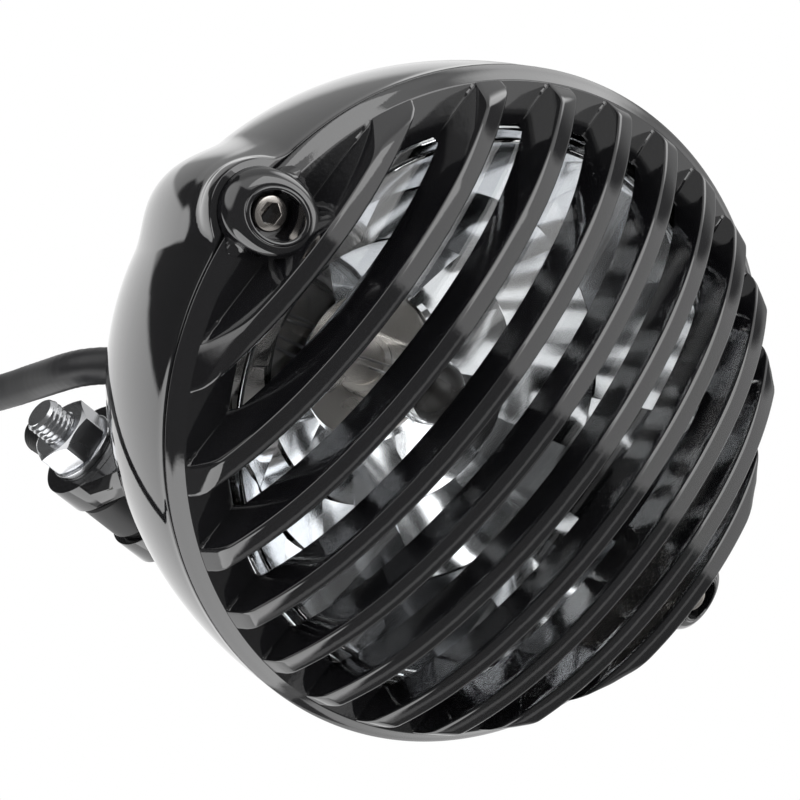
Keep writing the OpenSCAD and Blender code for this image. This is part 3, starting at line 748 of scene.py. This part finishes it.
def panel_group():
    """Lays one round panel over what is under it: the dot product of the direction and the
    panel's axis, taken smoothly from its outer to its inner cosine, mixes in the shade."""
    g, start, end = node_group(
        "Studio panel",
        [("Direction", "NodeSocketVector", (0, 0, 0)), ("Axis", "NodeSocketVector", (0, 0, 1)),
         ("Outer", "NodeSocketFloat", 0.0), ("Inner", "NodeSocketFloat", 1.0),
         ("Shade", "NodeSocketFloat", 1.0), ("Under", "NodeSocketFloat", 0.0)],
        [("Result", "NodeSocketFloat")],
    )
    dot = g.nodes.new("ShaderNodeVectorMath")
    dot.operation = "DOT_PRODUCT"
    ease = g.nodes.new("ShaderNodeMapRange")
    ease.interpolation_type = "SMOOTHSTEP"
    mix = g.nodes.new("ShaderNodeMix")
    link = g.links.new
    link(start.outputs["Direction"], dot.inputs[0])
    link(start.outputs["Axis"], dot.inputs[1])
    link(dot.outputs["Value"], ease.inputs["Value"])
    link(start.outputs["Outer"], ease.inputs["From Min"])
    link(start.outputs["Inner"], ease.inputs["From Max"])
    link(ease.outputs["Result"], mix.inputs["Factor"])
    link(start.outputs["Under"], mix.inputs["A"])
    link(start.outputs["Shade"], mix.inputs["B"])
    link(mix.outputs["Result"], end.inputs["Result"])
    return g


# Operators


class HEADLIGHT_OT_finishes(Operator):
    """Make every finish, with its node group"""

    bl_idname = "headlight.finishes"
    bl_label = "Finishes"

    def execute(self, context):
        all_finishes()
        for node, name in {
            "rim_seal": "Black rubber", "lens_gasket": "Black rubber", "bulb_boot": "Black rubber",
            "retaining_clips": "Spring steel", "bulb_clip": "Spring steel",
            "clip_screws": "Zinc plate", "side_nuts": "Zinc plate", "backing_plate": "Zinc plate",
            "bracket_screws": "Zinc plate", "bulb_base": "Stainless steel",
            "bulb_plug": "Heat-proof plastic", "bulb_glass": "Bulb glass",
            "pivot_spacers": "Black rubber", "cable_plug": "White nylon",
            "plug_terminals": "Brass",
        }.items():
            mesh = NODES[node].data
            mesh.materials.clear()
            mesh.materials.append(bpy.data.materials[name])
        return {"FINISHED"}


class HEADLIGHT_OT_grille(Operator):
    """Build the dome grille: rim, fins and screw bosses"""

    bl_idname = "headlight.grille"
    bl_label = "Grille"

    def execute(self, context):
        dome = Dome()
        count = setting("grille_sizes", "fin_count")
        pitch = mm("grille_sizes", "pitch")
        new_piece("grille_rim", [rim_surface()], "Cast enamel",
                  replaces=("grille_bezel",))
        for k in range(count):
            new_piece(f"fin_{k + 1:02d}", [fin_surface(dome, (k - (count - 1) / 2) * pitch)],
                      "Cast enamel", sharp=50)
        for side, label in ((-1, "left"), (1, "right")):
            new_piece(f"boss_{label}", [boss_surface(side)], "Cast enamel")
        return {"FINISHED"}


class HEADLIGHT_OT_shell(Operator):
    """Build the rear shell with a fairing behind each screw boss"""

    bl_idname = "headlight.shell"
    bl_label = "Shell"

    def execute(self, context):
        new_piece("rear_shell", [shell_surface()], "Gloss enamel", sharp=50,
                  replaces=("shell",))
        return {"FINISHED"}


class HEADLIGHT_OT_optics(Operator):
    """Build the lens and the faceted reflector"""

    bl_idname = "headlight.optics"
    bl_label = "Optics"

    def execute(self, context):
        new_piece("lens_cover", [lens_surface()], "Clear glass", sharp=28,
                  replaces=("lens",))
        new_piece("reflector_bowl", reflector_surfaces(), "Reflector chrome", sharp=9,
                  replaces=("reflector",))
        q = np.linspace(0, np.pi / 2, 13)
        dome = np.stack([np.sin(q), -np.cos(q)], 1)
        low, high, glass = BULB_TIP_D, BULB_BASE_D, 0.8
        outer = np.concatenate([dome * BULB_R + [0, low + BULB_R], [[BULB_R, high]]])
        inner_r = BULB_R - glass
        inner = np.concatenate([dome * inner_r + [0, low + BULB_R], [[inner_r, high]]])
        hollow = turned(np.concatenate([outer, inner[::-1]]), 72)
        new_piece("bulb_envelope", [(hollow, True, False)], "Bulb glass",
                  replaces=("bulb_glass",))
        cap = dome[:9] * (BULB_R + 0.06) + [0, low + BULB_R]
        under = dome[8::-1] * (BULB_R - 0.02) + [0, low + BULB_R]
        new_piece("bulb_cap", [(turned(np.concatenate([cap, under]), 72), True, False)],
                  "Bulb tip")
        t = np.linspace(0, 2 * np.pi * 14, 14 * 14)
        coil = np.stack([np.linspace(-3.2, 3.2, len(t)), low + 15 + 0.45 * np.cos(t),
                         1.5 + 0.45 * np.sin(t)], 1)
        posts = [np.array([(side * 3.2, low + 15, 1.5), (side * 3.3, low + 17, 1.0),
                           (side * 2.6, high + 1, 0.0)]) for side in (-1, 1)]
        shield = lathe([[3.0, 0], [3.3, 0], [3.3, 7], [3.0, 7]], 36, (0, low + 12, -2.6),
                       ((1, 0, 0), (0, 0, 1), (0, 1, 0)))
        parts = [(tube(coil, 0.13, 6), False, True), (shield, True, True)]
        parts += [(tube(smooth_path(post, 5), 0.35, 8), False, True) for post in posts]
        new_piece("bulb_filament", parts, "Spring steel")
        return {"FINISHED"}


class HEADLIGHT_OT_screws(Operator):
    """Build the two socket cap screws at the sides"""

    bl_idname = "headlight.screws"
    bl_label = "Side screws"

    def execute(self, context):
        screws = [socket_screw(side * SCREW_X, 0.0, SCREW_SEAT, 25.0) for side in (-1, 1)]
        new_piece("socket_screws", screws, "Stainless steel",
                  replaces=("side_screws",))
        return {"FINISHED"}


class HEADLIGHT_OT_pivot(Operator):
    """Build the bracket, pivot bolt, nut, washers and threaded stud"""

    bl_idname = "headlight.pivot"
    bl_label = "Bracket and pivot"

    def execute(self, context):
        eased_copy("clevis_bracket", "bracket", 0.0009, "Gloss enamel")
        eased_copy("plain_washers", "pivot_washers", 0.0002, "Zinc plate")
        turn = setting("fastener_sizes", "nut_turn")
        pitch = mm("fastener_sizes", "bolt_pitch")
        profile, reshape = nut_shape(HEX, 4.9, 8.0, turn)
        nut = lathe(profile, 120, PIVOT + [-EYE_CHEEK, 0, 0], PIVOT_AXES, reshape)
        new_piece("lock_nut", [(nut, True, True)], "Zinc plate", replaces=("pivot_nut",),
                  sharp=25)
        head_profile, head_shape = nut_shape(HEX, 4.9, 6.4, 0.2)
        head_profile = [[0, 0.5]] + head_profile[1:-1] + [[0, 6.4]]
        head = lathe(head_profile, 120, PIVOT + [EYE_CHEEK, 0, 0],
                     ((0, 0, 1), (0, -1, 0), (1, 0, 0)), head_shape)
        shank = lathe([[0, -19], [BOLT_R, -19], [BOLT_R, 17], [0, 17]], 64, PIVOT, PIVOT_AXES)
        thread = threaded(BOLT_R, pitch, 16.0, 34.0, 72, PIVOT, PIVOT_AXES, 0.9)
        new_piece("hinge_bolt", [(head, True, False), (shank, True, False), (thread, True, False)],
                  "Zinc plate", replaces=("pivot_bolt",), sharp=25)
        eye = lathe([[5.05, -6.0], [5.5, -6.45], [12.4, -6.45], [13, -5.85], [13, 5.85],
                     [12.4, 6.45], [5.5, 6.45], [5.05, 6.0]], 96, PIVOT, PIVOT_AXES)
        neck = lathe([[0, 8], [6.3, 8], [6.3, 12.4], [7.2, 12.2], [7.6, 12.6], [7.6, 16.6],
                      [7.2, 17], [0, 17]], 72, PIVOT, STUD_AXES)
        stud = threaded(STUD_R, mm("fastener_sizes", "stud_pitch"), 16.9, 63.0, 72, PIVOT,
                        STUD_AXES, 1.3)
        new_piece("threaded_stud", [(eye, True, True), (neck, True, False), (stud, True, False)],
                  "Satin black", body="stem", replaces=("eye_stud",))
        return {"FINISHED"}


class HEADLIGHT_OT_cable(Operator):
    """Build the cable sleeve, its grommet and the lead inside the shell"""

    bl_idname = "headlight.cable"
    bl_label = "Cable"

    def execute(self, context):
        path = smooth_path(SLEEVE_ROUTE, 6)
        along = np.concatenate([[0], np.cumsum(np.linalg.norm(np.diff(path, axis=0), axis=1))])
        girth = 5.0 - 0.04 * (1 + np.sin(along * 1.9 + 0.8 * np.sin(along * 0.31)))
        sleeve = new_piece("cable_cover", [(tube(path, girth, 28), False, True)], "PVC sleeve",
                           replaces=("cable_sleeve",))
        lead = smooth_path(LEAD_ROUTE, 5)
        new_piece("bulb_lead", [(tube(lead, 3.0, 14), False, True)], "PVC sleeve",
                  replaces=("inner_lead",))
        _, tail_r, tail_c = shell_radius(0.0)
        leave = np.array([-24.0, np.sqrt(tail_r**2 - 24.0**2 - 30.0**2), -30.0]) / tail_r
        base = np.array([0, tail_c, 0]) + tail_r * leave
        u = np.cross(leave, [1.0, 0, 0])
        u /= np.linalg.norm(u)
        w = np.cross(leave, u)
        profile = [[5.1, -3.8], [7.1, -3.8], [7.2, -2.1], [6.15, -2.0], [6.15, -0.4], [7.0, -0.5],
                   [7.2, 0.9], [7.15, 1.7], [6.7, 2.2], [6.6, 3.0], [6.75, 3.6], [6.6, 4.2],
                   [6.2, 4.6], [6.15, 5.4], [6.35, 6.0], [6.2, 6.6], [5.85, 7.0], [5.8, 7.8],
                   [6.0, 8.4], [5.9, 9.2], [5.85, 11.6], [5.6, 12.0], [5.1, 12.0]]
        new_piece("exit_grommet", [(lathe(profile, 48, base, (u, w, leave)), True, True)],
                  "Black rubber", replaces=("cable_grommet",))
        return {"FINISHED"}


def placed(right, up, place):
    """Matrix of an object from its right and up directions and its place."""
    turn = np.stack([right, up, np.cross(right, up)], 1)
    return Matrix([[*row, c] for row, c in zip(turn, place)] + [[0, 0, 0, 1]])


class HEADLIGHT_OT_stage(Operator):
    """Set up the floor, the world, the softbox and the camera"""

    bl_idname = "headlight.stage"
    bl_label = "Stage"

    def execute(self, context):
        scene = context.scene
        cam = bpy.data.cameras.new("Camera")
        cam.sensor_width = 36.0
        cam.lens = FOCAL / PICTURE * cam.sensor_width
        cam.clip_start = 0.01
        eye = bpy.data.objects.new("Camera", cam)
        eye.matrix_world = placed(CAMERA_RIGHT, CAMERA_UP, CAMERA_PLACE + LAMP_ORIGIN)
        scene.collection.objects.link(eye)
        scene.camera = eye
        scene.view_settings.view_transform = "Standard"
        self.world(scene)
        self.floor(scene)
        self.lamp(scene)
        return {"FINISHED"}

    def world(self, scene):
        """White to the camera. To the rest a soft studio: round panels of even shade laid over
        a dim room, the later ones over the earlier. For glossy and transmission rays the white
        backdrop is the panel behind the lamp, because white all round would fill the enamel
        and, through the lens, the reflector. Diffuse rays get a little less light."""
        world = bpy.data.worlds.new("Studio")
        scene.world = world
        world.use_nodes = True
        t = world.node_tree
        t.nodes.clear()
        out = t.nodes.new("ShaderNodeOutputWorld")
        plain = t.nodes.new("ShaderNodeBackground")
        plain.inputs["Color"].default_value = (1, 1, 1, 1)
        soft = t.nodes.new("ShaderNodeBackground")
        co = t.nodes.new("ShaderNodeTexCoord")
        panel = panel_group()
        last = None
        for azimuth, elevation, reach, edge, shade in PANELS:
            node = t.nodes.new("ShaderNodeGroup")
            node.node_tree = panel
            az, el = np.radians(azimuth), np.radians(elevation)
            axis = (np.sin(az) * np.cos(el), -np.cos(az) * np.cos(el), np.sin(el))
            set_inputs(node, {"Axis": axis, "Outer": np.cos(np.radians(reach + edge)),
                              "Inner": np.cos(np.radians(max(reach - edge, 0))),
                              "Shade": shade, "Under": ROOM})
            t.links.new(co.outputs["Generated"], node.inputs["Direction"])
            if last:
                t.links.new(last.outputs["Result"], node.inputs["Under"])
            last = node
        path = t.nodes.new("ShaderNodeLightPath")
        mix = t.nodes.new("ShaderNodeMixShader")
        dim = t.nodes.new("ShaderNodeMath")
        dim.operation = "MULTIPLY_ADD"
        fill = setting("studio_settings", "fill")
        dim.inputs[1].default_value = -DIFFUSE_DIM * fill
        dim.inputs[2].default_value = fill
        link = t.links.new
        link(path.outputs["Is Diffuse Ray"], dim.inputs[0])
        link(dim.outputs["Value"], soft.inputs["Strength"])
        link(last.outputs["Result"], soft.inputs["Color"])
        link(path.outputs["Is Camera Ray"], mix.inputs["Fac"])
        link(soft.outputs["Background"], mix.inputs[1])
        link(plain.outputs["Background"], mix.inputs[2])
        link(mix.outputs["Shader"], out.inputs["Surface"])

    def floor(self, scene):
        """A plain pale floor under the hanging cable."""
        mesh = bpy.data.meshes.new("Floor")
        low = CAD_BOX[0][2] - 0.06
        mesh.from_pydata([(-1, -1, low), (1, -1, low), (1, 1, low), (-1, 1, low)], [],
                         [(0, 1, 2, 3)])
        obj = bpy.data.objects.new("Floor", mesh)
        scene.collection.objects.link(obj)
        obj.visible_glossy = False
        mat = bpy.data.materials.new("Pale floor")
        mat.use_nodes = True
        bsdf = mat.node_tree.nodes["Principled BSDF"]
        set_inputs(bsdf, {"Base Color": (0.9, 0.9, 0.9, 1), "Roughness": 0.8})
        mesh.materials.append(mat)

    def lamp(self, scene):
        """One broad softbox above and in front of the lamp, facing it."""
        place, aim = np.array([-0.42, -0.88, 0.78]), np.array([0, -0.12, 0.05])
        light = bpy.data.lights.new("Softbox above", "AREA")
        light.shape = "RECTANGLE"
        light.size, light.size_y = 2.0, 0.86
        light.energy = 8 * setting("studio_settings", "key")
        obj = bpy.data.objects.new("Softbox above", light)
        away = (place - aim) / np.linalg.norm(place - aim)
        side = np.cross([0, 0, 1.0], away)
        side /= np.linalg.norm(side)
        obj.matrix_world = placed(side, np.cross(away, side), place)
        obj.visible_camera = False
        scene.collection.objects.link(obj)


STEPS = (HEADLIGHT_OT_finishes, HEADLIGHT_OT_stage, HEADLIGHT_OT_cable, HEADLIGHT_OT_shell,
         HEADLIGHT_OT_grille, HEADLIGHT_OT_optics, HEADLIGHT_OT_screws, HEADLIGHT_OT_pivot)


class HEADLIGHT_PT_panel(Panel):
    """Lists the headlight's building steps and its settings"""

    bl_idname = "HEADLIGHT_PT_panel"
    bl_label = "Headlight"
    bl_space_type = "VIEW_3D"
    bl_region_type = "UI"
    bl_category = "Headlight"

    def draw(self, context):
        for step in STEPS:
            self.layout.operator(step.bl_idname)
        for name, group in SETTINGS.items():
            box = self.layout.box()
            box.label(text=name.replace("_", " ").capitalize())
            for prop in group.__annotations__:
                box.prop(getattr(context.scene, name), prop)


def register():
    for cls in (*SETTINGS.values(), *STEPS, HEADLIGHT_PT_panel):
        bpy.utils.register_class(cls)
    for name, group in SETTINGS.items():
        setattr(bpy.types.Scene, name, PointerProperty(type=group))


def unregister():
    for name in SETTINGS:
        delattr(bpy.types.Scene, name)
    for cls in reversed((*SETTINGS.values(), *STEPS, HEADLIGHT_PT_panel)):
        bpy.utils.unregister_class(cls)


def main():
    register()
    for step in STEPS:
        category, name = step.bl_idname.split(".")
        getattr(getattr(bpy.ops, category), name)()


if __name__ == "__main__":
    main()
